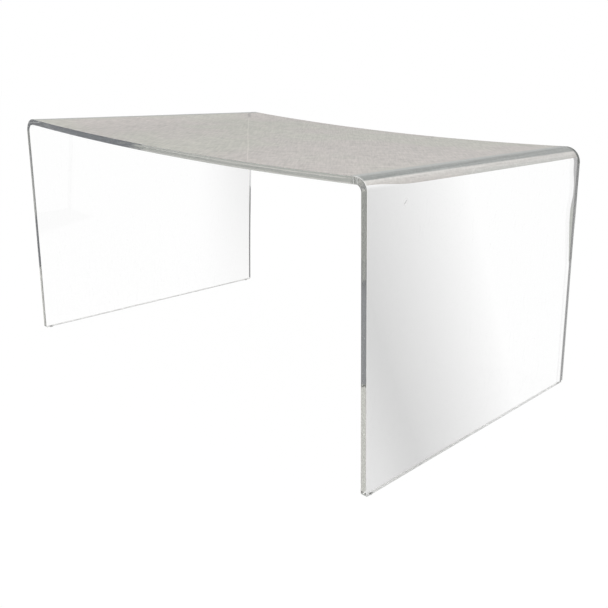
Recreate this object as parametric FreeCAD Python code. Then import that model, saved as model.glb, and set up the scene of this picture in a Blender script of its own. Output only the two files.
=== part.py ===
"""Waterfall coffee table: one heat-bent sheet of clear acrylic on four clear bumpers.

The origin is on the floor under the middle of the table. +X runs along its length to the right leg,
+Y from the front edge to the back edge, and +Z up. The whole sheet is one section in the XZ plane,
drawn out along Y. Lengths are in millimetres.
"""

import FreeCAD, Part
import math
import os

from FreeCAD import Vector

# The sheet
LENGTH = 910.0  # over the outer faces of both legs, at their feet
WIDTH = 570.0  # from the front edge to the back edge
HEIGHT = 432.0  # from the floor to the two high ends of the top
SHEET = 10.0  # thickness
BEND = 20.0  # radius of the outer face of each bend
DISH = 9.0  # how far the middle of the top lies below its two high ends
SPLAY = math.radians(2.7)  # how far each leg leans outwards towards its foot
FOOT_CORNER = 3.0  # radius of each leg's two bottom corners
EASE = 0.5  # radius along every polished edge

# The bumpers and the adhesive film that holds each one
BUMPER_MARGIN = 0.5  # a bumper's rim lies this far inside the flat of the leg's end
BUMPER_THICKNESS = 1.85
BUMPER_ROUND = 0.8  # radius around the rim that meets the floor
FILM_THICKNESS = 0.15
FILM_MARGIN = 0.2  # the film stops this far inside the bumper's rim
BUMPER_SETBACK = 13.0  # from the sheet's front or back edge to a bumper's centre

# Worked out from the sizes above
BUMPER = SHEET - 2 * EASE - 2 * BUMPER_MARGIN  # diameter
FOOT_LEVEL = BUMPER_THICKNESS + FILM_THICKNESS  # the legs' lower ends, cut level
BEND_X = LENGTH / 2 - (HEIGHT - BEND - FOOT_LEVEL) * math.tan(SPLAY) - BEND / math.cos(SPLAY)
BEND_Z = HEIGHT - BEND  # the bend's axis is at BEND_X, BEND_Z
AXES_APART = (BEND_X**2 + DISH**2) / (2 * DISH)  # from the top's arc's axis to a bend's axis
END_SLOPE = math.asin(BEND_X / AXES_APART)  # of the top where it runs into the bend

SIDES = {"left": -1, "right": 1}
ENDS = {"front": -1, "back": 1}


def skin(depth):
    """Edges of the section, from the left foot over the top to the right foot.

    depth is how far this line lies inside the sheet's outer face: 0 or SHEET.
    """

    def on_bend(angle):
        reach = BEND - depth
        return BEND_X + reach * math.cos(angle), BEND_Z + reach * math.sin(angle)

    foot = LENGTH / 2 - depth / math.cos(SPLAY), FOOT_LEVEL
    below = on_bend(SPLAY)
    above = on_bend(math.pi / 2 + END_SLOPE)
    halfway = on_bend((SPLAY + math.pi / 2 + END_SLOPE) / 2)
    lowest = 0.0, HEIGHT - DISH - depth

    def at(point, side=1):
        return Vector(side * point[0], 0, point[1])

    return [
        Part.LineSegment(at(foot, -1), at(below, -1)).toShape(),
        Part.Arc(at(below, -1), at(halfway, -1), at(above, -1)).toShape(),
        Part.Arc(at(above, -1), at(lowest), at(above)).toShape(),
        Part.Arc(at(above), at(halfway), at(below)).toShape(),
        Part.LineSegment(at(below), at(foot)).toShape(),
    ]


def foot_cut(side):
    """The short level line across the sheet's thickness at the end of one leg."""
    outer = Vector(side * LENGTH / 2, 0, FOOT_LEVEL)
    inner = Vector(side * (LENGTH / 2 - SHEET / math.cos(SPLAY)), 0, FOOT_LEVEL)
    return Part.LineSegment(outer, inner).toShape()


def is_foot_corner(edge):
    """True for the short edges across the thickness at a leg's bottom corners."""
    ends = [vertex.Point for vertex in edge.Vertexes]
    level = all(abs(point.z - FOOT_LEVEL) < 0.01 for point in ends)
    return level and abs(ends[0].y - ends[-1].y) < 0.01


def is_cut_face(face):
    """True for the faces that cross the sheet's thickness, all around its outline."""
    centre = face.CenterOfMass
    to_end = abs(WIDTH / 2 - abs(centre.y))
    return to_end < FOOT_CORNER or centre.z - FOOT_LEVEL < FOOT_CORNER


def is_rim(solid, edge):
    """True for the edges where the sheet's outer or inner face meets a cut face."""
    faces = solid.ancestorsOfType(edge, Part.Face)
    return len(faces) == 2 and is_cut_face(faces[0]) != is_cut_face(faces[1])


def waterfall_sheet():
    outline = skin(0.0) + [foot_cut(1)] + skin(SHEET) + [foot_cut(-1)]
    section = Part.Face(Part.Wire(Part.__sortEdges__(outline)))
    section.translate(Vector(0, -WIDTH / 2, 0))
    blank = section.extrude(Vector(0, WIDTH, 0))
    cornered = blank.makeFillet(FOOT_CORNER, [edge for edge in blank.Edges if is_foot_corner(edge)])
    return cornered.makeFillet(EASE, [edge for edge in cornered.Edges if is_rim(cornered, edge)])


def bumper_place(side, end, level):
    """A point at the given level on a bumper's axis, under the middle of the leg's thickness."""
    across = LENGTH / 2 - SHEET / (2 * math.cos(SPLAY))
    return Vector(side * across, end * (WIDTH / 2 - BUMPER_SETBACK), level)


def bumper(side, end):
    disc = Part.makeCylinder(BUMPER / 2, BUMPER_THICKNESS, bumper_place(side, end, 0.0))
    lower_rim = [edge for edge in disc.Edges if abs(edge.BoundBox.ZMax) < 0.01]
    return disc.makeFillet(BUMPER_ROUND, lower_rim)


def film(side, end):
    start = bumper_place(side, end, BUMPER_THICKNESS)
    return Part.makeCylinder(BUMPER / 2 - FILM_MARGIN, FILM_THICKNESS, start)


def main():
    pieces = {"waterfall_sheet": waterfall_sheet()}
    for side_name, side in SIDES.items():
        for end_name, end in ENDS.items():
            pieces[f"bumper_{end_name}_{side_name}"] = bumper(side, end)
            pieces[f"film_{end_name}_{side_name}"] = film(side, end)

    os.makedirs("parts", exist_ok=True)
    for name, shape in pieces.items():
        shape.exportStep(f"parts/{name}.step")
        box = shape.BoundBox
        print(f"{name}: {len(shape.Solids)} solid, {box.XLength:.2f} x {box.YLength:.2f} x {box.ZLength:.2f}")


main()
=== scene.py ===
"""Waterfall coffee table: one heat-bent sheet of clear acrylic on four stick-on bumpers.

After a few shared calls, the sections follow the table as it is put together: the sheet, the adhesive
films, the bumpers, and then the floor, the light and the camera. Metres, +Z up, +X to the right leg,
+Y to the back edge.
"""

import math

import bpy
import numpy as np
from mathutils import Euler, Matrix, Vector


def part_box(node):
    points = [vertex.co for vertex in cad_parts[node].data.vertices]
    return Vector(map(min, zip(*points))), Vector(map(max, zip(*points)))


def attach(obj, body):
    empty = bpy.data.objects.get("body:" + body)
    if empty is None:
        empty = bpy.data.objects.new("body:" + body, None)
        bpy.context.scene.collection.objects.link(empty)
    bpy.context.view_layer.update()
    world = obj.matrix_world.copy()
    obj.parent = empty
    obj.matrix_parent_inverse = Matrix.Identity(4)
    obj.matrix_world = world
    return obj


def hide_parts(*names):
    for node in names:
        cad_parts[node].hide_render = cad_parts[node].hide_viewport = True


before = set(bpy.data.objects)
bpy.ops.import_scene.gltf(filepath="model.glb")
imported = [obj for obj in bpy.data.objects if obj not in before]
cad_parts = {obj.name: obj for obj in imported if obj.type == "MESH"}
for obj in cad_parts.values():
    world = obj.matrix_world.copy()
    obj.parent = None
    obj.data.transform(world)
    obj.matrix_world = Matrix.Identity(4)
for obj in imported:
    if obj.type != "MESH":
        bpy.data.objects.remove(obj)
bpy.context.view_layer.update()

# ---------------------------------------------------------------------------------------------
# Short calls that the sections share, and the small marks that handling left on the sheet and the
# bumpers.
# ---------------------------------------------------------------------------------------------


def rgb(red, green=None, blue=None):
    """An opaque colour in linear light. One number alone gives a grey."""
    if green is None:
        green = blue = red
    return red, green, blue, 1


def new_piece(name, points, faces, smooth=True):
    mesh = bpy.data.meshes.new(name)
    mesh.from_pydata(points, [], faces)
    mesh.polygons.foreach_set("use_smooth", np.full(len(faces), smooth))
    piece = bpy.data.objects.new(name, mesh)
    bpy.context.collection.objects.link(piece)
    return piece


class Nodes:
    """Short calls for one node tree: add a node, link it, and set its inputs by name or number."""

    def __init__(self, tree):
        self.tree = tree

    def add(self, kind, settings=None, **inputs):
        node = self.tree.nodes.new(kind)
        for key, value in (settings or {}).items():
            setattr(node, key, value)
        for key, value in inputs.items():
            self.put(node, key.replace("_", " "), value)
        return node

    def put(self, node, key, value):
        socket = node.inputs[key]
        if isinstance(value, bpy.types.Node):
            value = value.outputs[0]
        if isinstance(value, bpy.types.NodeSocket):
            self.tree.links.new(value, socket)
        else:
            socket.default_value = value

    def maths(self, operation, *values):
        node = self.tree.nodes.new("ShaderNodeMath")
        node.operation = operation
        for number, value in enumerate(values):
            self.put(node, number, value)
        return node.outputs[0]

    def chain(self, operation, first, *others):
        for other in others:
            first = self.maths(operation, first, other)
        return first

    def product(self, *values):
        return self.chain("MULTIPLY", *values)

    def total(self, *values):
        return self.chain("ADD", *values)

    def largest(self, *values):
        return self.chain("MAXIMUM", *values)

    def minus(self, first, second):
        return self.maths("SUBTRACT", first, second)

    def away(self, value, place):
        """How far a value is from a fixed one, on either side."""
        return self.maths("ABSOLUTE", self.minus(value, place))

    def ramp(self, value, low, high, start=0.0, end=1.0, smooth=True):
        """Runs from start, where the value is low, to end, where it is high, and stays there."""
        node = self.tree.nodes.new("ShaderNodeMapRange")
        node.interpolation_type = "SMOOTHSTEP" if smooth else "LINEAR"
        for number, number_value in enumerate((value, low, high, start, end)):
            self.put(node, number, number_value)
        return node.outputs[0]

    def span(self, value, rise, fall):
        """1 between two ramps, which are given as (low, high), and 0 outside them."""
        return self.product(self.ramp(value, *rise), self.ramp(value, *fall[::-1]))

    def noise(self, vector, scale, detail=2.0, roughness=0.5):
        node = self.add("ShaderNodeTexNoise", Vector=vector, Scale=scale, Detail=detail, Roughness=roughness)
        return node.outputs["Fac"]

    def stretched(self, vector, scale, turn=(0, 0, 0)):
        return self.add("ShaderNodeMapping", Vector=vector, Scale=scale, Rotation=turn).outputs[0]

    def blend(self, share, first, second):
        node = self.add("ShaderNodeMix", {"data_type": "RGBA"})
        for number, value in ((0, share), (6, first), (7, second)):
            self.put(node, number, value)
        return node.outputs[2]

    def mix(self, share, first, second):
        node = self.add("ShaderNodeMixShader", Fac=share)
        self.put(node, 1, first)
        self.put(node, 2, second)
        return node

    def bump(self, height, distance):
        return self.add("ShaderNodeBump", Height=height, Distance=distance, Strength=1.0).outputs[0]


def new_material(name):
    material = bpy.data.materials.new(name)
    material.use_nodes = True
    material.node_tree.nodes.clear()
    return material, Nodes(material.node_tree)


def handling_marks():
    """A group that gives two masks: short fine scratches in crossing directions, and dust specks.

    Both are spots in the middle of those Voronoi cells whose random colour passes a limit. The
    scratches come from cells that are stretched along a turned axis.
    """
    group = bpy.data.node_groups.new("handling_marks", "ShaderNodeTree")
    group.interface.new_socket("Vector", in_out="INPUT", socket_type="NodeSocketVector")
    group.interface.new_socket("Scratches", in_out="OUTPUT", socket_type="NodeSocketFloat")
    group.interface.new_socket("Dust", in_out="OUTPUT", socket_type="NodeSocketFloat")
    n = Nodes(group)

    def spots(vector, scale, channel, limit, outer, inner):
        cells = n.add("ShaderNodeTexVoronoi", Vector=vector, Scale=scale)
        chance = n.add("ShaderNodeSeparateColor", Color=cells.outputs["Color"]).outputs[channel]
        spot = n.ramp(cells.outputs["Distance"], outer, inner)
        return n.product(spot, n.maths("GREATER_THAN", chance, limit))

    vector = n.add("NodeGroupInput").outputs["Vector"]
    scratches = []
    for turn, length, width in ((0.5, 26, 900), (-0.9, 34, 1100), (1.3, 18, 800)):
        turned = n.stretched(vector, (1, 1, 1), (0, 0, turn))
        scratches.append(spots(n.stretched(turned, (length, width, 40)), 1.0, 0, 0.88, 0.42, 0.18))
    dust = spots(vector, 170.0, 1, 0.93, 0.16, 0.07)
    n.add("NodeGroupOutput", Scratches=n.largest(*scratches), Dust=dust)
    return group


marks_group = handling_marks()

# ---------------------------------------------------------------------------------------------
# The sheet. One piece of clear cast acrylic, 10 mm thick, softened along two lines and folded
# down over a form, so the top sags a little between its bends and the legs lean outwards.
# Its cut edges are scraped, lightly rounded and flame-polished. Only the feet are left sawn.
# ---------------------------------------------------------------------------------------------

LENGTH, WIDTH, HEIGHT = 0.910, 0.570, 0.432
SHEET = 0.010
BEND = 0.020  # radius of the outer skin at each bend
SPLAY = math.radians(2.7)
FOOT_LEVEL = 0.002
FOOT_CORNER = 0.003
EASE = 0.0005  # round along every polished edge
# What bending by hand did to each pair: the front edge first, then the back edge
BENT_BY_HAND = {"left": (0.026, 0.020), "right": (0.0185, 0.0275)}  # radius of the outer skin
SAG = (0.0090, 0.0100)  # how far the middle of the top lies below its ends
RISE = {"left": (0.0021, 0.0004), "right": (0.0012, 0.0030)}  # of the top's ends
# Shift of a leg along X, at its foot, halfway up and at its top
SWAY = {
    "left": ((0.0009, -0.0026, -0.0076), (0.0009, -0.0069, -0.0076)),
    "right": ((0.0, -0.0027, -0.0054), (0.0009, -0.0032, -0.0069)),
}
SWAY_GONE = 0.38  # nearer the middle of the top than this, the shift along X fades out
TOP_SPAN = 0.84  # over this length the left rise turns into the right one
BEND_MIDDLE = 0.0155  # a bend's middle, counted along the outer skin from its lower end
SQUEEZED, HEATED = 0.011, 0.055  # how far the squeezed and the heated stretch reach from there
FLARE = 0.00035  # how far the inner skin swells sideways where it was squeezed in a bend
RIPPLE = 0.00005  # waviness that the heat leaves beside each bend

LEG_STEPS, BEND_STEPS, TOP_STEPS = 34, 36, 40
CORNER_STEPS, ACROSS_STEPS, EDGE_STEPS, EASE_STEPS = 8, 48, 4, 6


def section_of_the_sheet(bend_radius, sag):
    """Stations along the sheet from the middle of the top, round one bend, to that leg's foot.

    Gives the outer and the inner skin as (station, [x, z]), each station's distance from the foot
    along the leg, and its way: the length along the outer skin from the bend's lower end, which is
    positive round the bend and over the top and negative down the leg. The top is an arc through
    the dish, the bend an arc about an axis under the top, and the leg a straight line that leans
    by SPLAY. The inner skin is the same set of lines, moved in by the thickness.
    """
    axis_z = HEIGHT - bend_radius
    axis_x = LENGTH / 2 - (axis_z - FOOT_LEVEL) * math.tan(SPLAY) - bend_radius / math.cos(SPLAY)
    apart = (axis_x**2 + sag**2) / (2 * sag)
    slope = math.asin(axis_x / apart)
    top_radius = apart - bend_radius
    top_axis_z = HEIGHT - sag + top_radius
    leg_length = (axis_z - FOOT_LEVEL) / math.cos(SPLAY)
    bend_length = (math.pi / 2 + slope - SPLAY) * bend_radius

    top = np.linspace(0, slope, TOP_STEPS + 1)
    bend = np.linspace(math.pi / 2 + slope, SPLAY, BEND_STEPS + 1)[1:]
    near_foot = FOOT_CORNER * (1 - np.cos(np.linspace(0, math.pi / 2, CORNER_STEPS + 1)))
    up_the_leg = np.linspace(2 * FOOT_CORNER, leg_length, LEG_STEPS)
    leg = np.concatenate([near_foot, [1.2 * FOOT_CORNER], up_the_leg])[::-1][1:]

    def skin(depth):
        reach = bend_radius - depth
        foot = np.array([LENGTH / 2 - depth / math.cos(SPLAY), FOOT_LEVEL])
        knee = np.array([axis_x + reach * math.cos(SPLAY), axis_z + reach * math.sin(SPLAY)])
        over = top_radius + depth
        return np.concatenate([
            np.stack([over * np.sin(top), top_axis_z - over * np.cos(top)], 1),
            np.stack([axis_x + reach * np.cos(bend), axis_z + reach * np.sin(bend)], 1),
            foot + (knee - foot) * (leg / leg_length)[:, None],
        ])

    far = np.full(len(top) + len(bend), leg_length)
    from_foot = np.concatenate([far, leg])
    way = np.concatenate([
        bend_length + top_radius * (slope - top),
        (bend - SPLAY) * bend_radius,
        leg - leg_length,
    ])
    return skin(0.0), skin(SHEET), from_foot, way


def ring_of_the_sheet():
    """One closed turn round the sheet's rectangular section, as parts of a rounded rectangle.

    Each point is core * (half size less the round) + EASE * lean, in (depth, width) order. The
    core runs along the four sides, over the skins with its outermost points close to the edges,
    and the lean is a unit vector that turns through each corner, or points straight out along a
    side.
    """
    across = np.linspace(-1, 1, ACROSS_STEPS + 1)
    across = np.concatenate([[-1, -0.9985], across[1:-1] * 0.985, [0.9985, 1]])
    through = np.linspace(1, -1, EDGE_STEPS + 1)
    turn = np.linspace(0, math.pi / 2, EASE_STEPS + 1)[1:-1]
    core, lean = [], []
    sides = (
        (np.stack([np.ones_like(across), across], 1), 0.0),
        (np.stack([through, np.ones_like(through)], 1), math.pi / 2),
        (np.stack([-np.ones_like(across), across[::-1]], 1), math.pi),
        (np.stack([-through, -np.ones_like(through)], 1), 1.5 * math.pi),
    )
    for line, angle in sides:
        core += [line, np.repeat(line[-1:], len(turn), 0)]
        turned = np.concatenate([np.full(len(line), angle), angle + turn])
        lean.append(np.stack([np.cos(turned), np.sin(turned)], 1))
    return np.concatenate(core), np.concatenate(lean)


def bent_sheet(name):
    """Carries the ring along the whole section, left foot to right foot, and closes both feet.

    Near a foot the half thickness and the half width shrink along quarter circles of radius EASE
    and FOOT_CORNER. Round a bend the width grows by FLARE at the inner skin and shrinks at the
    outer one. Beside the bends both skins move together by RIPPLE times two crossing waves. Each
    point lies between the section at the front edge and the one at the back edge, by its share
    of the width. It then moves along X by the parabola through the three values of SWAY, taken at
    its height, and its height grows by RISE, as much as it stands above the floor. The mesh keeps
    each point's way, width and depth below the outer skin, for the material.
    """

    def whole(left, right):
        return np.concatenate([left[::-1], right[1:]])

    def both_skins(end):
        left = section_of_the_sheet(BENT_BY_HAND["left"][end], SAG[end])[:2]
        right = section_of_the_sheet(BENT_BY_HAND["right"][end], SAG[end])[:2]
        outer, inner = (whole(left[skin] * [-1, 1], right[skin]) for skin in (0, 1))
        return np.stack([(outer + inner) / 2, (outer - inner) / SHEET])

    _, _, from_foot, way = section_of_the_sheet(BEND, SAG[0])
    side = whole(-np.ones_like(way), np.ones_like(way))
    from_foot, way = whole(from_foot, from_foot), whole(way, way)

    def rounded(half, radius):
        low = np.minimum(from_foot, radius)
        return half - radius + np.sqrt(np.maximum(radius**2 - (radius - low) ** 2, 0))

    def near_bend(reach):
        return np.exp(-(((way - BEND_MIDDLE) / reach) ** 2))

    thick = rounded(SHEET / 2, EASE)[:, None]
    wide = rounded(WIDTH / 2, FOOT_CORNER)[:, None]
    core, lean = ring_of_the_sheet()
    depth = core[:, 0] * (thick - EASE) + EASE * lean[:, 0]
    width = core[:, 1] * (wide - EASE) + EASE * lean[:, 1]

    in_bend = near_bend(SQUEEZED)[:, None]
    at_edge = np.abs(width / (WIDTH / 2)) ** 60
    place = width - FLARE * in_bend * at_edge * np.sign(width) * (2 * depth / SHEET)
    beside = (near_bend(HEATED) * (from_foot > 0.02))[:, None]
    wave = np.sin(width * 31 + side[:, None] * 1.3) + 0.6 * np.sin(width * 67 + way[:, None] * 45)
    depth = depth + RIPPLE * beside * wave

    share = (place / WIDTH + 0.5)[None, :, :, None]
    middle, out = both_skins(0)[:, :, None] * (1 - share) + both_skins(1)[:, :, None] * share
    line = middle + out * depth[:, :, None]
    x, z = line[:, :, 0], line[:, :, 1]
    up = np.clip((z - FOOT_LEVEL) / (HEIGHT - BEND - FOOT_LEVEL), 0, 1)
    share = share[0, :, :, 0]

    def leg_shift(name):
        foot, halfway, top = (front * (1 - share) + back * share for front, back in zip(*SWAY[name]))
        return foot * (1 - up) * (1 - 2 * up) + halfway * 4 * up * (1 - up) + top * up * (2 * up - 1)

    def leg_rise(name):
        return RISE[name][0] * (1 - share) + RISE[name][1] * share

    sway = np.where(x < 0, leg_shift("left"), leg_shift("right")) * np.clip(np.abs(x) / SWAY_GONE, 0, 1)
    to_right = np.clip(x / TOP_SPAN + 0.5, 0, 1)
    rise = leg_rise("left") * (1 - to_right) + leg_rise("right") * to_right
    height = FOOT_LEVEL + (z - FOOT_LEVEL) * (1 + rise / HEIGHT)
    points = np.stack([x + sway, place, height], 2)
    rows, columns = points.shape[:2]
    index = np.arange(rows * columns).reshape(rows, columns)
    beyond = np.roll(index, -1, 1)
    quads = np.stack([index[:-1], index[1:], beyond[1:], beyond[:-1]], 2).reshape(-1, 4)
    faces = quads.tolist() + [index[0].tolist(), index[-1][::-1].tolist()]

    piece = new_piece(name, points.reshape(-1, 3), faces)
    lay = np.stack([np.broadcast_to(way[:, None], width.shape), width, SHEET / 2 - depth], 2)
    attribute = piece.data.attributes.new("lay", "FLOAT_VECTOR", "POINT")
    attribute.data.foreach_set("vector", lay.ravel())
    piece.data.update()
    return piece


ACRYLIC_IOR = 1.49
# The second share is the cover of the painted shade beside the right bend's back edge.
HAZE, BEND_SHADE_COVER, SAWN = 0.90, 0.92, 0.92  # how much of the clear surface each one covers
PALE_LINES = (0.0362, 0.0315, 0.0284)  # the way of each nick
SCUFF_Y, SCUFF_Z = -0.2092, 0.3965
SCUFF_LENGTH, SCUFF_WIDTH, HALO_WIDTH = 0.0060, 0.0011, 0.0040  # from the scuff's middle

# The haze's colours. The top drifts between olive and rose; below it come the bend and its lower end
TOP_OLIVE, TOP_ROSE = rgb(0.352, 0.345, 0.296), rgb(0.369, 0.336, 0.311)
BEND_BACK, BEND_FRONT = rgb(0.262, 0.273, 0.263), rgb(0.284, 0.296, 0.286)
BEND_UPPER = rgb(0.300, 0.308, 0.292)
LOW_MIDDLE, LOW_ENDS = rgb(0.450, 0.455, 0.432), rgb(0.465, 0.442, 0.418)
LOW_UPPER = rgb(0.575, 0.558, 0.534)
# Painted shade: the dark colour of the strip beside the right bend's back edge.
BEND_SHADE_DARK = rgb(0.135, 0.140, 0.135)


class Lie:
    """Where a shaded point lies in the sheet, with masks for the sheet's parts.

    way, wide and depth are the ones that bent_sheet keeps: way is positive round a bend and over the
    top and negative down a leg, wide runs towards the back edge, and depth starts at the outer skin.
    """

    def __init__(self, n):
        self.lay = n.add("ShaderNodeAttribute", {"attribute_name": "lay"}).outputs["Vector"]
        self.way, self.wide, self.depth = n.add("ShaderNodeSeparateXYZ", Vector=self.lay).outputs
        self.to_front = n.total(WIDTH / 2, self.wide)
        self.to_back = n.minus(WIDTH / 2, self.wide)
        self.place = n.add("ShaderNodeTexCoord").outputs["Object"]
        self.x, self.y, self.z = n.add("ShaderNodeSeparateXYZ", Vector=self.place).outputs
        self.right = n.ramp(self.x, 0.0, 0.1)
        self.left = n.ramp(self.x, 0.0, -0.1)
        self.skin = n.ramp(n.minus(SHEET / 2, n.away(self.depth, SHEET / 2)), 0.0006, 0.0001)
        self.edge = n.minus(1.0, self.skin)
        self.front_edge = n.product(self.edge, n.ramp(self.to_front, 0.005, 0.002))
        self.right_outer = n.product(self.right, n.ramp(self.depth, 0.0020, 0.0010))
        self.outside = n.minus(1.0, n.add("ShaderNodeNewGeometry").outputs["Backfacing"])
        self.marks = n.add("ShaderNodeGroup", {"node_tree": marks_group}, Vector=self.place).outputs


def bend_edge_painted_shade(n, at):
    """A mask for painted shade: the dark strip beside the right bend's back edge."""
    beside_edge = n.ramp(at.to_back, 0.0098, 0.0078)
    return n.product(beside_edge, at.right_outer, n.span(at.way, (-0.003, 0.001), (0.040, 0.045)))


def haze_share(n, at, bend_shade):
    """The haze nearly closes the top and the bends, and it is gone on the legs.

    Its lower end lies highest at the front corner, then rises a little to the back edge, and on
    the left leg's inner skin it lies higher.
    """
    front_corner = n.ramp(at.to_front, 0.005, 0.09, 0.0100, 0.0050)
    slant = n.ramp(at.to_front, 0.12, WIDTH, 0.0, 0.0030, smooth=False)
    inner_left = n.product(at.left, n.ramp(at.depth, 0.0080, 0.0090, 0.0, 0.012))
    lower_end = n.total(front_corner, slant, inner_left)
    begun = n.ramp(n.minus(at.way, lower_end), -0.0003, 0.0003)
    clear_of_edge = n.ramp(n.maths("ABSOLUTE", at.wide), WIDTH / 2 - 0.0004, WIDTH / 2 - 0.0012)
    share = n.product(begun, HAZE, at.skin, clear_of_edge)
    # The painted shade beside the right bend's back edge covers the clear surface too.
    return n.product(n.largest(share, n.product(bend_shade, BEND_SHADE_COVER)), at.outside)


def haze_colour(n, at, bend_shade):
    """Greige over the top, cooler and darker round the bend, and pale again at the bend's lower end."""
    rose = n.product(n.ramp(at.x, 0.05, 0.25, 0.0, 0.16), n.ramp(at.y, 0.16, 0.06))
    drift = n.ramp(n.total(n.noise(at.place, 6.0), rose), 0.38, 0.62)
    top = n.blend(drift, TOP_OLIVE, TOP_ROSE)
    bend = n.blend(n.ramp(at.y, 0.10, -0.05), BEND_BACK, BEND_FRONT)
    bend = n.blend(n.ramp(at.way, 0.0310, 0.0430), bend, BEND_UPPER)
    low = n.blend(n.ramp(n.away(at.y, 0.09), 0.12, 0.20), LOW_MIDDLE, LOW_ENDS)
    low = n.blend(n.ramp(at.way, 0.0050, 0.0160), low, LOW_UPPER)
    bend_ends = n.ramp(at.wide, -WIDTH / 2, WIDTH / 2, 0.0425, 0.0450, smooth=False)
    colour = n.blend(n.ramp(n.minus(at.way, bend_ends), -0.0014, 0.0014), bend, top)
    colour = n.blend(n.ramp(at.way, 0.0160, 0.0185), low, colour)
    # Painted shade: the strip beside the right bend's back edge turns dark.
    return n.blend(bend_shade, colour, BEND_SHADE_DARK)


def hatching(n, at):
    """Crossing cleaning scratches over the top, which give way to streaks along the bend."""
    turned = n.stretched(at.place, (1, 1, 1), (0, 0, math.radians(-42)))
    along = n.noise(n.stretched(turned, (420, 26, 300)), 1.0, 3.0)
    across = n.noise(n.stretched(turned, (50, 170, 300)), 1.0, 3.0)
    hatch = n.minus(n.total(along, across), 1.0)
    streaks = n.minus(n.noise(n.stretched(at.lay, (1500, 14, 0)), 1.0), 0.5)
    at_bend = n.ramp(at.way, 0.060, 0.044)
    hatch = n.product(hatch, n.maths("MULTIPLY_ADD", at_bend, -0.65, 1.0))
    return n.total(hatch, n.product(streaks, n.product(at_bend, 0.9)))


def haze_wear_and_painted_light(n, at, hatch):
    """What the haze's colour is multiplied by: its hatching, paler ends, a few single marks, and painted
    light and shade.
    """
    paler = n.total(n.ramp(at.x, 0.10, 0.35, 0.988, 1.002), n.ramp(at.x, -0.25, -0.38, 0.0, 0.145))
    # Painted highlight: paler in a strip just inside the front edge.
    paler = n.total(paler, n.ramp(at.to_front, 0.0050, 0.0020, 0.0, 0.13))
    wear_and_light = n.maths("MULTIPLY_ADD", hatch, 0.85, paler)
    wear_and_light = n.total(wear_and_light, n.product(at.marks["Scratches"], 0.10))
    wear_and_light = n.minus(wear_and_light, n.product(at.marks["Dust"], 0.25))
    # A painted light line across the top, which stands in for the left leg's back edge seen through
    # the haze, and ends at a painted dark mark near the back left corner
    off = n.maths("MULTIPLY_ADD", at.x, 0.6535, n.maths("MULTIPLY_ADD", at.y, 0.7569, 0.076))
    off = n.total(off, n.product(n.noise(at.place, 5.0, 1.0), 0.004))
    painted_line = n.ramp(n.maths("ABSOLUTE", off), 0.0013, 0.0005, 0.0, 0.24)
    wear_and_light = n.total(wear_and_light, n.product(painted_line, n.ramp(at.x, -0.335, -0.310)))
    off = n.minus(off, n.ramp(at.x, -0.395, -0.425, 0.001, 0.010))
    mark = n.ramp(n.maths("ABSOLUTE", off), 0.0042, 0.0024, 0.0, 0.36)
    return n.minus(wear_and_light, n.product(mark, n.ramp(at.x, -0.325, -0.345)))


def hazy(n, at, bend_shade):
    """The haze's own surface: its colour, with the painted bend shade, times its hatching, marks and painted
    light, over a fine grain.
    """
    hatch = hatching(n, at)
    worn_and_lit = n.add("ShaderNodeVectorMath", {"operation": "SCALE"}, Scale=haze_wear_and_painted_light(n, at, hatch))
    n.put(worn_and_lit, 0, haze_colour(n, at, bend_shade))
    return n.add("ShaderNodeBsdfPrincipled", Base_Color=worn_and_lit, Roughness=0.35, IOR=ACRYLIC_IOR,
                 Specular_IOR_Level=0.08, Normal=n.bump(hatch, 0.00003))


def leg_painted_shade(n, at):
    """Painted shade: a soft grey diagonal band down the front of the right leg, and a weaker one at the
    left.

    This and the next two paint shade and reflections as tints of the clear surface. Light takes on
    the square root of a tint each time it passes the surface.
    """
    band = n.maths("MULTIPLY_ADD", at.z, 0.44, n.total(at.y, 0.1524))
    after = n.ramp(band, -0.005, 0.275, 1.0, 0.0, smooth=False)
    before = n.ramp(band, -0.12, -0.01, 0.68, 1.0)
    right_painted_shade = n.product(after, before, at.right)
    left_painted_shade = n.product(n.ramp(at.y, 0.10, 0.30, 0.0, 0.40), n.ramp(at.z, -0.05, 0.35, 0.35, 1.0), at.left)
    # The painted shade lies on the legs' skins only.
    cast = n.product(n.total(right_painted_shade, left_painted_shade), n.ramp(at.way, 0.016, 0.002), at.skin)
    return n.blend(cast, rgb(1), rgb(0.645))


def back_edge_painted_shade(n, at, tint):
    """Painted shade beside the right leg's back edge, on the outer skin.

    A half shaded strip comes first, then a dark line, which is darker high up, and beyond that,
    high up only, a grey band of changing width. All three are painted tints.
    """
    high = n.product(n.ramp(at.z, 0.233, 0.238), n.ramp(at.way, 0.020, 0.014))
    below_bend = n.product(at.right_outer, n.ramp(at.way, 0.010, 0.004))
    half_shade = n.product(n.span(at.to_back, (0.0026, 0.0032), (0.0064, 0.0068)), below_bend)
    dark = n.product(n.span(at.to_back, (0.0064, 0.0068), (0.0106, 0.0114)), below_bend)
    reach = n.ramp(at.z, 0.235, 0.310, 0.0130, 0.0228, smooth=False)
    reach = n.total(reach, n.ramp(at.z, 0.33, 0.36, 0.0, -0.0060), n.ramp(at.z, 0.370, 0.405, 0.0, 0.0060))
    band = n.product(n.ramp(n.minus(at.to_back, reach), 0.0010, -0.0010), n.ramp(at.to_back, 0.0102, 0.0110))
    band = n.product(band, high, at.right_outer)
    greys = n.blend(n.ramp(at.z, 0.345, 0.325), rgb(0.195, 0.192, 0.195), rgb(0.200, 0.210, 0.180))
    tint = n.blend(band, tint, greys)
    tint = n.blend(half_shade, tint, rgb(0.50))
    return n.blend(dark, tint, n.blend(high, rgb(0.095), rgb(0.042)))


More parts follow.
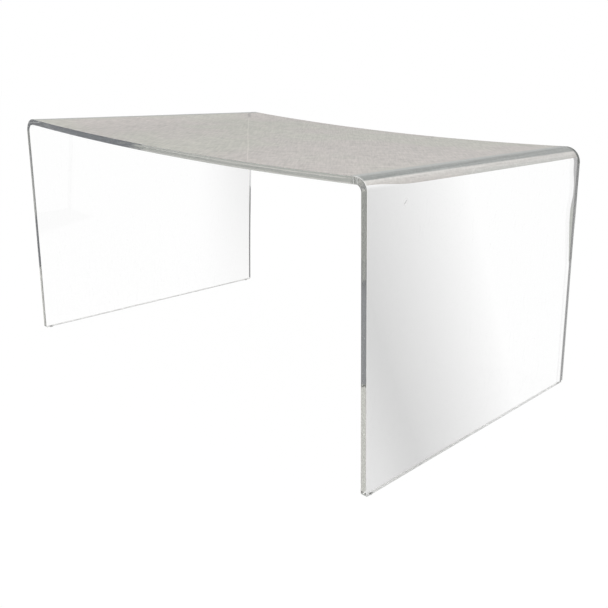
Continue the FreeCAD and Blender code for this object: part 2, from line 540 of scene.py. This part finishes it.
def darker_front_edges(n, at, tint):
    """Painted dark reflections: stretches of the front edge that are darker, most of them where it meets a
    face of a leg.
    """
    front_right = n.product(at.front_edge, at.right)
    front_left = n.product(at.front_edge, at.left)
    upper = n.product(n.ramp(at.z, 0.288, 0.305), n.ramp(at.way, 0.042, 0.034))
    on_leg = n.ramp(at.way, 0.004, -0.001)
    outer_border = n.product(n.ramp(at.depth, 0.0024, 0.0012), front_right, on_leg, n.ramp(at.z, 0.12, 0.14))
    tint = n.blend(n.product(front_right, upper), tint, rgb(0.60, 0.60, 0.61))
    tint = n.blend(outer_border, tint, n.blend(upper, rgb(0.72), rgb(0.36)))
    left_stretches = (
        (n.product(n.ramp(at.depth, 0.0050, 0.0075), on_leg), rgb(0.27)),
        (n.span(at.way, (-0.012, 0.002), (0.070, 0.085)), rgb(0.66)),
        (n.span(at.way, (-0.050, -0.030), (0.012, 0.018)), rgb(0.36)),
    )
    for stretch, colour in left_stretches:
        tint = n.blend(n.product(stretch, front_left), tint, colour)
    return tint


def clear(n, at):
    """Clear plastic in these painted tints of shade and reflection, with scraper lines along its edges."""
    tint = darker_front_edges(n, at, back_edge_painted_shade(n, at, leg_painted_shade(n, at)))
    scraper_lines = n.product(n.noise(n.stretched(at.lay, (25, 0, 4200)), 1.0, 3.0, 0.6), at.edge)
    return n.add("ShaderNodeBsdfPrincipled", Base_Color=tint, Roughness=0.0, IOR=ACRYLIC_IOR,
                 Transmission_Weight=1.0, Normal=n.bump(scraper_lines, 0.0000032))


def rubbed_and_highlit_places(n, at):
    """Masks for the painted highlight and all scuffed places, and for the dark scuff among them.

    They are a painted highlight along the outer front rim of the right bend and leg, three pale lines
    across the right bend's edge, a scuff and a few specks. The scuff is a turned ellipse on the right
    leg, with a wider and paler halo of the same length.
    """
    # Painted highlight: a pale matte finish on the outer front rim of the right bend and leg.
    rim = n.product(n.ramp(at.to_front, 0.0008, 0.0004), n.ramp(at.depth, 0.0008, 0.0003))
    rubbed_and_highlit = n.product(rim, at.right, n.ramp(at.way, 0.036, 0.031, 0.0, 0.75))
    # Three pale lines across the right bend's front edge.
    for pale_line in PALE_LINES:
        off = n.away(n.maths("MULTIPLY_ADD", at.depth, 0.12, at.way), pale_line)
        line = n.product(n.ramp(off, 0.0006, 0.0003, 0.0, 0.55), at.front_edge, at.right)
        rubbed_and_highlit = n.largest(rubbed_and_highlit, line)

    def squared(value, size):
        return n.maths("POWER", n.maths("DIVIDE", value, size), 2.0)

    up, over = n.minus(at.z, SCUFF_Z), n.minus(at.y, SCUFF_Y)
    along = squared(n.maths("MULTIPLY_ADD", up, 0.66, n.product(over, 0.75)), SCUFF_LENGTH)
    across = n.maths("MULTIPLY_ADD", up, 0.75, n.product(over, -0.66))
    scuff = n.product(n.ramp(n.total(along, squared(across, SCUFF_WIDTH)), 1.0, 0.3), at.right_outer)
    halo = n.ramp(n.total(along, squared(across, HALO_WIDTH)), 1.6, 0.8, 0.0, 0.22)
    halo = n.product(halo, at.right_outer)
    specks = n.product(n.largest(at.marks["Scratches"], at.marks["Dust"]), 0.025, at.skin)
    return n.largest(rubbed_and_highlit, n.product(scuff, 0.5), halo, specks), scuff


def chalky(n, at, scuff, sawn, front_foot):
    """The painted highlight, the scuffed and sawn places: pale, dark in the scuff, satin grey under the feet
    and darker in front.
    """
    grit = n.ramp(n.noise(at.place, 900.0), 0.3, 0.7)
    satin = n.blend(grit, rgb(0.56), rgb(0.63, 0.63, 0.62))
    colour = n.blend(scuff, rgb(0.80, 0.80, 0.79), rgb(0.30))
    colour = n.blend(sawn, colour, n.blend(at.outside, rgb(0.84, 0.84, 0.83), satin))
    colour = n.blend(front_foot, colour, rgb(0.37, 0.38, 0.36))
    return n.add("ShaderNodeBsdfPrincipled", Base_Color=colour, Roughness=0.6, Specular_IOR_Level=0.2)


def clear_acrylic():
    """Clear acrylic with a greige haze, painted shade, reflections and highlights, scuffed places and sawn
    feet. Lamps shine straight through it.

    The sawn feet stop light from outside, and light inside that hasn't been mirrored yet.
    """
    material, n = new_material("clear_acrylic_polished")
    at = Lie(n)
    path = n.add("ShaderNodeLightPath").outputs
    bend_shade = bend_edge_painted_shade(n, at)
    body = n.mix(haze_share(n, at, bend_shade), clear(n, at), hazy(n, at, bend_shade))

    rubbed_and_highlit, scuff = rubbed_and_highlit_places(n, at)
    sawn = n.ramp(at.z, FOOT_LEVEL + 0.0014, FOOT_LEVEL + 0.0009)
    front_foot = n.product(at.front_edge, n.ramp(at.z, FOOT_LEVEL + 0.0042, FOOT_LEVEL + 0.0034))
    chalk = chalky(n, at, scuff, sawn, front_foot)
    stops = n.largest(at.outside, n.maths("LESS_THAN", path["Glossy Depth"], 0.5))
    feet = n.product(n.largest(sawn, front_foot), stops, SAWN)
    # The painted highlight on the right bend's front rim takes the pale matte surface too.
    used = n.mix(n.largest(n.product(rubbed_and_highlit, at.outside), feet), body, chalk)

    lamps = n.mix(path["Is Shadow Ray"], used, n.add("ShaderNodeBsdfTransparent"))
    absorb = n.add("ShaderNodeVolumeAbsorption", Color=rgb(0.59, 0.62, 0.59), Density=1.5)
    n.add("ShaderNodeOutputMaterial", Surface=lamps, Volume=absorb)
    return material


sheet = bent_sheet("sheet_bent")
sheet.data.materials.append(clear_acrylic())
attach(sheet, "root")
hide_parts("waterfall_sheet")

# ---------------------------------------------------------------------------------------------
# The adhesive films. Each is a thin disc of pressure-sensitive glue, pressed between a bumper and
# the leg's end. It is cloudy, with small bubbles of trapped air.
# ---------------------------------------------------------------------------------------------

PLACES = ["front_left", "back_left", "front_right", "back_right"]


def adhesive():
    material, n = new_material("adhesive_film_cloudy")
    place = n.add("ShaderNodeTexCoord").outputs["Object"]
    cells = n.add("ShaderNodeTexVoronoi", Vector=place, Scale=1500.0)
    bubble = n.ramp(cells.outputs["Distance"], 0.30, 0.18)
    cloud = n.noise(place, 900.0, 3.0)
    tone = n.blend(cloud, rgb(0.84, 0.84, 0.81), rgb(0.74, 0.74, 0.70))
    tone = n.blend(bubble, tone, rgb(0.93, 0.93, 0.92))
    film = n.add("ShaderNodeBsdfPrincipled", Base_Color=tone, IOR=1.47, Transmission_Weight=0.5,
                 Roughness=n.ramp(cloud, 0.3, 0.7, 0.45, 0.65), Normal=n.bump(bubble, 0.00002))
    n.add("ShaderNodeOutputMaterial", Surface=film)
    return material


glue = adhesive()
for corner in PLACES:
    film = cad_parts["film_" + corner]
    film.data.materials.clear()
    film.data.materials.append(glue)

# ---------------------------------------------------------------------------------------------
# The bumpers. Each is a small moulded disc of clear polyurethane with a dimple underneath. The
# table's weight has pressed it, so its side bulges a little, and its lower rim is darker.
# ---------------------------------------------------------------------------------------------

BUMPER = 0.008  # diameter
BUMPER_HEIGHT = 0.00185
BUMPER_ROUND = 0.0008
BULGE = 0.00006  # how far the side stands out at half height
DIMPLE = 0.00025  # depth of the hollow underneath
LIP = 0.0001  # the small round at the top of the side
DISC_STEPS = 56


def moulded_disc(name, node):
    """Turns a profile about the upright axis through the middle of the CAD node's box.

    The profile runs from the hollow's lowest ring outwards over the floor ring, up the rounded rim
    and the side, whose radius swells by BULGE times a half sine, and back over the flat top. Each
    end closes in one point on the axis.
    """
    low, high = (np.array(corner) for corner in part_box(node))
    middle = (low + high) / 2
    radius = BUMPER / 2
    hollow = np.linspace(0.1, 1, 7) * (radius - BUMPER_ROUND) * 0.8
    under = np.stack([hollow, DIMPLE * (1 - (hollow / hollow[-1]) ** 2) ** 2], 1)
    turn = np.linspace(-math.pi / 2, 0, 9)
    rim = radius - BUMPER_ROUND + BUMPER_ROUND * np.cos(turn)
    rim = np.stack([rim, BUMPER_ROUND + BUMPER_ROUND * np.sin(turn)], 1)
    climb = np.linspace(0, 1, 9)[1:-1]
    straight = BUMPER_HEIGHT - BUMPER_ROUND - LIP
    side = np.stack([radius + BULGE * np.sin(math.pi * climb), BUMPER_ROUND + straight * climb], 1)
    lip = [[radius - 0.3 * LIP, BUMPER_HEIGHT - 0.6 * LIP], [radius - LIP, BUMPER_HEIGHT]]
    over = np.stack([np.linspace(0.95, 0.1, 5) * radius, np.full(5, BUMPER_HEIGHT)], 1)
    profile = np.concatenate([under, rim, side, lip, over])

    rows, columns = len(profile), DISC_STEPS
    angle = np.linspace(0, 2 * math.pi, columns, endpoint=False)
    ring = profile[:, :1] * np.cos(angle), profile[:, :1] * np.sin(angle)
    height = np.broadcast_to(profile[:, 1:], ring[0].shape)
    points = np.stack([ring[0] + middle[0], ring[1] + middle[1], height + low[2]], 2).reshape(-1, 3)
    ends = [[middle[0], middle[1], low[2] + DIMPLE], [middle[0], middle[1], low[2] + BUMPER_HEIGHT]]
    index = np.arange(rows * columns).reshape(rows, columns)
    beyond = np.roll(index, -1, 1)
    faces = np.stack([index[:-1], beyond[:-1], beyond[1:], index[1:]], 2).reshape(-1, 4).tolist()
    faces += np.stack([np.full(columns, rows * columns), beyond[0], index[0]], 1).tolist()
    faces += np.stack([np.full(columns, rows * columns + 1), index[-1], beyond[-1]], 1).tolist()
    return new_piece(name, np.concatenate([points, ends]), faces)


def soft_polyurethane():
    """Clear and satin, with fine moulding grain, and a darker lower rim, mostly at the left leg."""
    material, n = new_material("clear_polyurethane_satin")
    place = n.add("ShaderNodeTexCoord").outputs["Object"]
    x, _, z = n.add("ShaderNodeSeparateXYZ", Vector=place).outputs
    marks = n.add("ShaderNodeGroup", {"node_tree": marks_group}, Vector=n.stretched(place, (6, 6, 6)))
    grain = n.noise(place, 2600.0, 3.0)
    # Darker on the lower rim, in patches, mostly at the left leg.
    darker_low_rim = n.product(n.ramp(z, 0.0016, 0.0008), n.ramp(n.noise(place, 700.0), 0.25, 0.5))
    darker_low_rim = n.product(darker_low_rim, n.ramp(x, 0.1, -0.1, 0.05, 1.0))
    tone = n.blend(darker_low_rim, rgb(0.78, 0.80, 0.79), rgb(0.13, 0.13, 0.12))
    tone = n.blend(n.product(marks.outputs["Dust"], 0.6), tone, rgb(0.70, 0.69, 0.66))
    body = n.add("ShaderNodeBsdfPrincipled", Base_Color=tone, IOR=1.5, Transmission_Weight=0.8,
                 Roughness=n.ramp(grain, 0.3, 0.7, 0.22, 0.38), Normal=n.bump(grain, 0.00001))
    n.add("ShaderNodeOutputMaterial", Surface=body)
    return material


rubber = soft_polyurethane()
for corner in PLACES:
    pad = moulded_disc("pad_" + corner, "bumper_" + corner)
    pad.data.materials.append(rubber)
    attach(pad, "root")
    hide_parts("bumper_" + corner)

# ---------------------------------------------------------------------------------------------
# The floor, the light and the camera. None of them is part of the table. Light that was mirrored
# inside the acrylic meets darker stand-in tones, because the room round the table isn't built.
# ---------------------------------------------------------------------------------------------

FLOOR_HALF = 8.0
BOUNCES = 64  # light runs a long way inside the sheet


def ran_inside(n, mirrored=2.5):
    """1 for light that was mirrored more often than that inside the acrylic, and 0 for all other."""
    path = n.add("ShaderNodeLightPath").outputs
    often = n.maths("GREATER_THAN", path["Glossy Depth"], mirrored)
    return n.product(path["Is Transmission Ray"], often)


def pale_room():
    world = bpy.data.worlds.new("pale_room")
    world.use_nodes = True
    world.node_tree.nodes.clear()
    n = Nodes(world.node_tree)
    path = n.add("ShaderNodeLightPath").outputs
    straight = n.largest(path["Is Camera Ray"], path["Is Glossy Ray"], path["Is Transmission Ray"])
    room = n.blend(straight, rgb(0.82), rgb(1))
    room = n.blend(ran_inside(n), room, rgb(0.80, 0.78, 0.75))
    n.add("ShaderNodeOutputWorld", Surface=n.add("ShaderNodeBackground", Color=room))
    return world


def pale_floor():
    """White for all light but the light that ran inside the acrylic.

    Light that was mirrored three times or more meets a grey floor, darker at the left and paler far
    back. Light that was mirrored once or twice meets plain tones in a stripe under the table and
    beyond the left leg, which draw the lines along the legs' edges.
    """
    material, n = new_material("pale_floor")
    white = n.add("ShaderNodeEmission", Color=rgb(1), Strength=1.006)
    seen = n.mix(0.97, n.add("ShaderNodeBsdfDiffuse", Color=rgb(0.95)), white)
    ground = n.add("ShaderNodeSeparateXYZ", Vector=n.add("ShaderNodeTexCoord").outputs["Object"])
    x, y, _ = ground.outputs

    beyond = n.ramp(n.total(y, n.ramp(x, -0.10, -0.30, 0.0, 0.475)), 1.00, 1.04)
    tone = n.blend(beyond, rgb(0.335, 0.333, 0.355), rgb(0.58, 0.575, 0.55))
    at_left = n.product(n.minus(1.0, beyond), n.ramp(x, -0.10, -0.30))
    tone = n.blend(at_left, tone, rgb(0.154, 0.161, 0.192))

    left_line = n.blend(n.ramp(x, -1.60, -1.55), rgb(0.85), rgb(0.18))
    right_line = n.blend(n.ramp(y, -0.64, -0.56), rgb(0.285), rgb(0.355))
    across = n.maths("MULTIPLY_ADD", x, 0.913, n.maths("MULTIPLY_ADD", y, -0.408, -0.2875))
    stripe = n.product(n.ramp(n.maths("ABSOLUTE", across), 0.14, 0.09), n.ramp(x, 0.46, 0.44))
    where = n.product(n.largest(stripe, n.ramp(x, -0.45, -0.47)), n.ramp(y, 0.30, 0.27))
    once = n.product(where, n.minus(ran_inside(n, 0.5), ran_inside(n)))
    tone = n.blend(once, tone, n.blend(n.ramp(x, -0.47, -0.45), left_line, right_line))
    dim = n.add("ShaderNodeEmission", Color=tone)
    n.add("ShaderNodeOutputMaterial", Surface=n.mix(n.largest(once, ran_inside(n)), seen, dim))
    return material


scene = bpy.context.scene
scene.world = pale_room()

floor_corners = [(x * FLOOR_HALF, y * FLOOR_HALF, 0) for x, y in ((-1, -1), (1, -1), (1, 1), (-1, 1))]
floor = new_piece("floor", floor_corners, [(0, 1, 2, 3)], smooth=False)
floor.data.materials.append(pale_floor())

lamp = bpy.data.objects.new("softbox", bpy.data.lights.new("softbox", "AREA"))
bpy.context.collection.objects.link(lamp)
lamp.data.shape = "RECTANGLE"
lamp.data.size, lamp.data.size_y = 0.9, 0.7
lamp.data.energy = 13.0
lamp_turn = Euler((math.radians(41), 0, math.radians(33))).to_matrix()
lamp.matrix_world = Matrix.Translation((0.9, -1.2, 1.7)) @ lamp_turn.to_4x4()

AZIMUTH, ELEVATION, ROLL = 42.10, 19.50, 2.21  # degrees
camera = bpy.data.objects.new("camera", bpy.data.cameras.new("camera"))
bpy.context.collection.objects.link(camera)
turn = Euler((math.radians(90 - ELEVATION), 0, math.radians(AZIMUTH))).to_matrix()
turn = turn @ Matrix.Rotation(math.radians(ROLL), 3, "Z")
camera.matrix_world = Matrix.Translation((1.01150, -0.97225, 0.57115)) @ turn.to_4x4()
camera.data.sensor_width = 36
camera.data.lens = 44.23
camera.data.shift_x = -0.0559
camera.data.shift_y = 0.0260
scene.camera = camera
scene.view_settings.view_transform = "Standard"
scene.cycles.max_bounces = BOUNCES
scene.cycles.transmission_bounces = BOUNCES
scene.cycles.glossy_bounces = BOUNCES
scene.cycles.transparent_max_bounces = 32
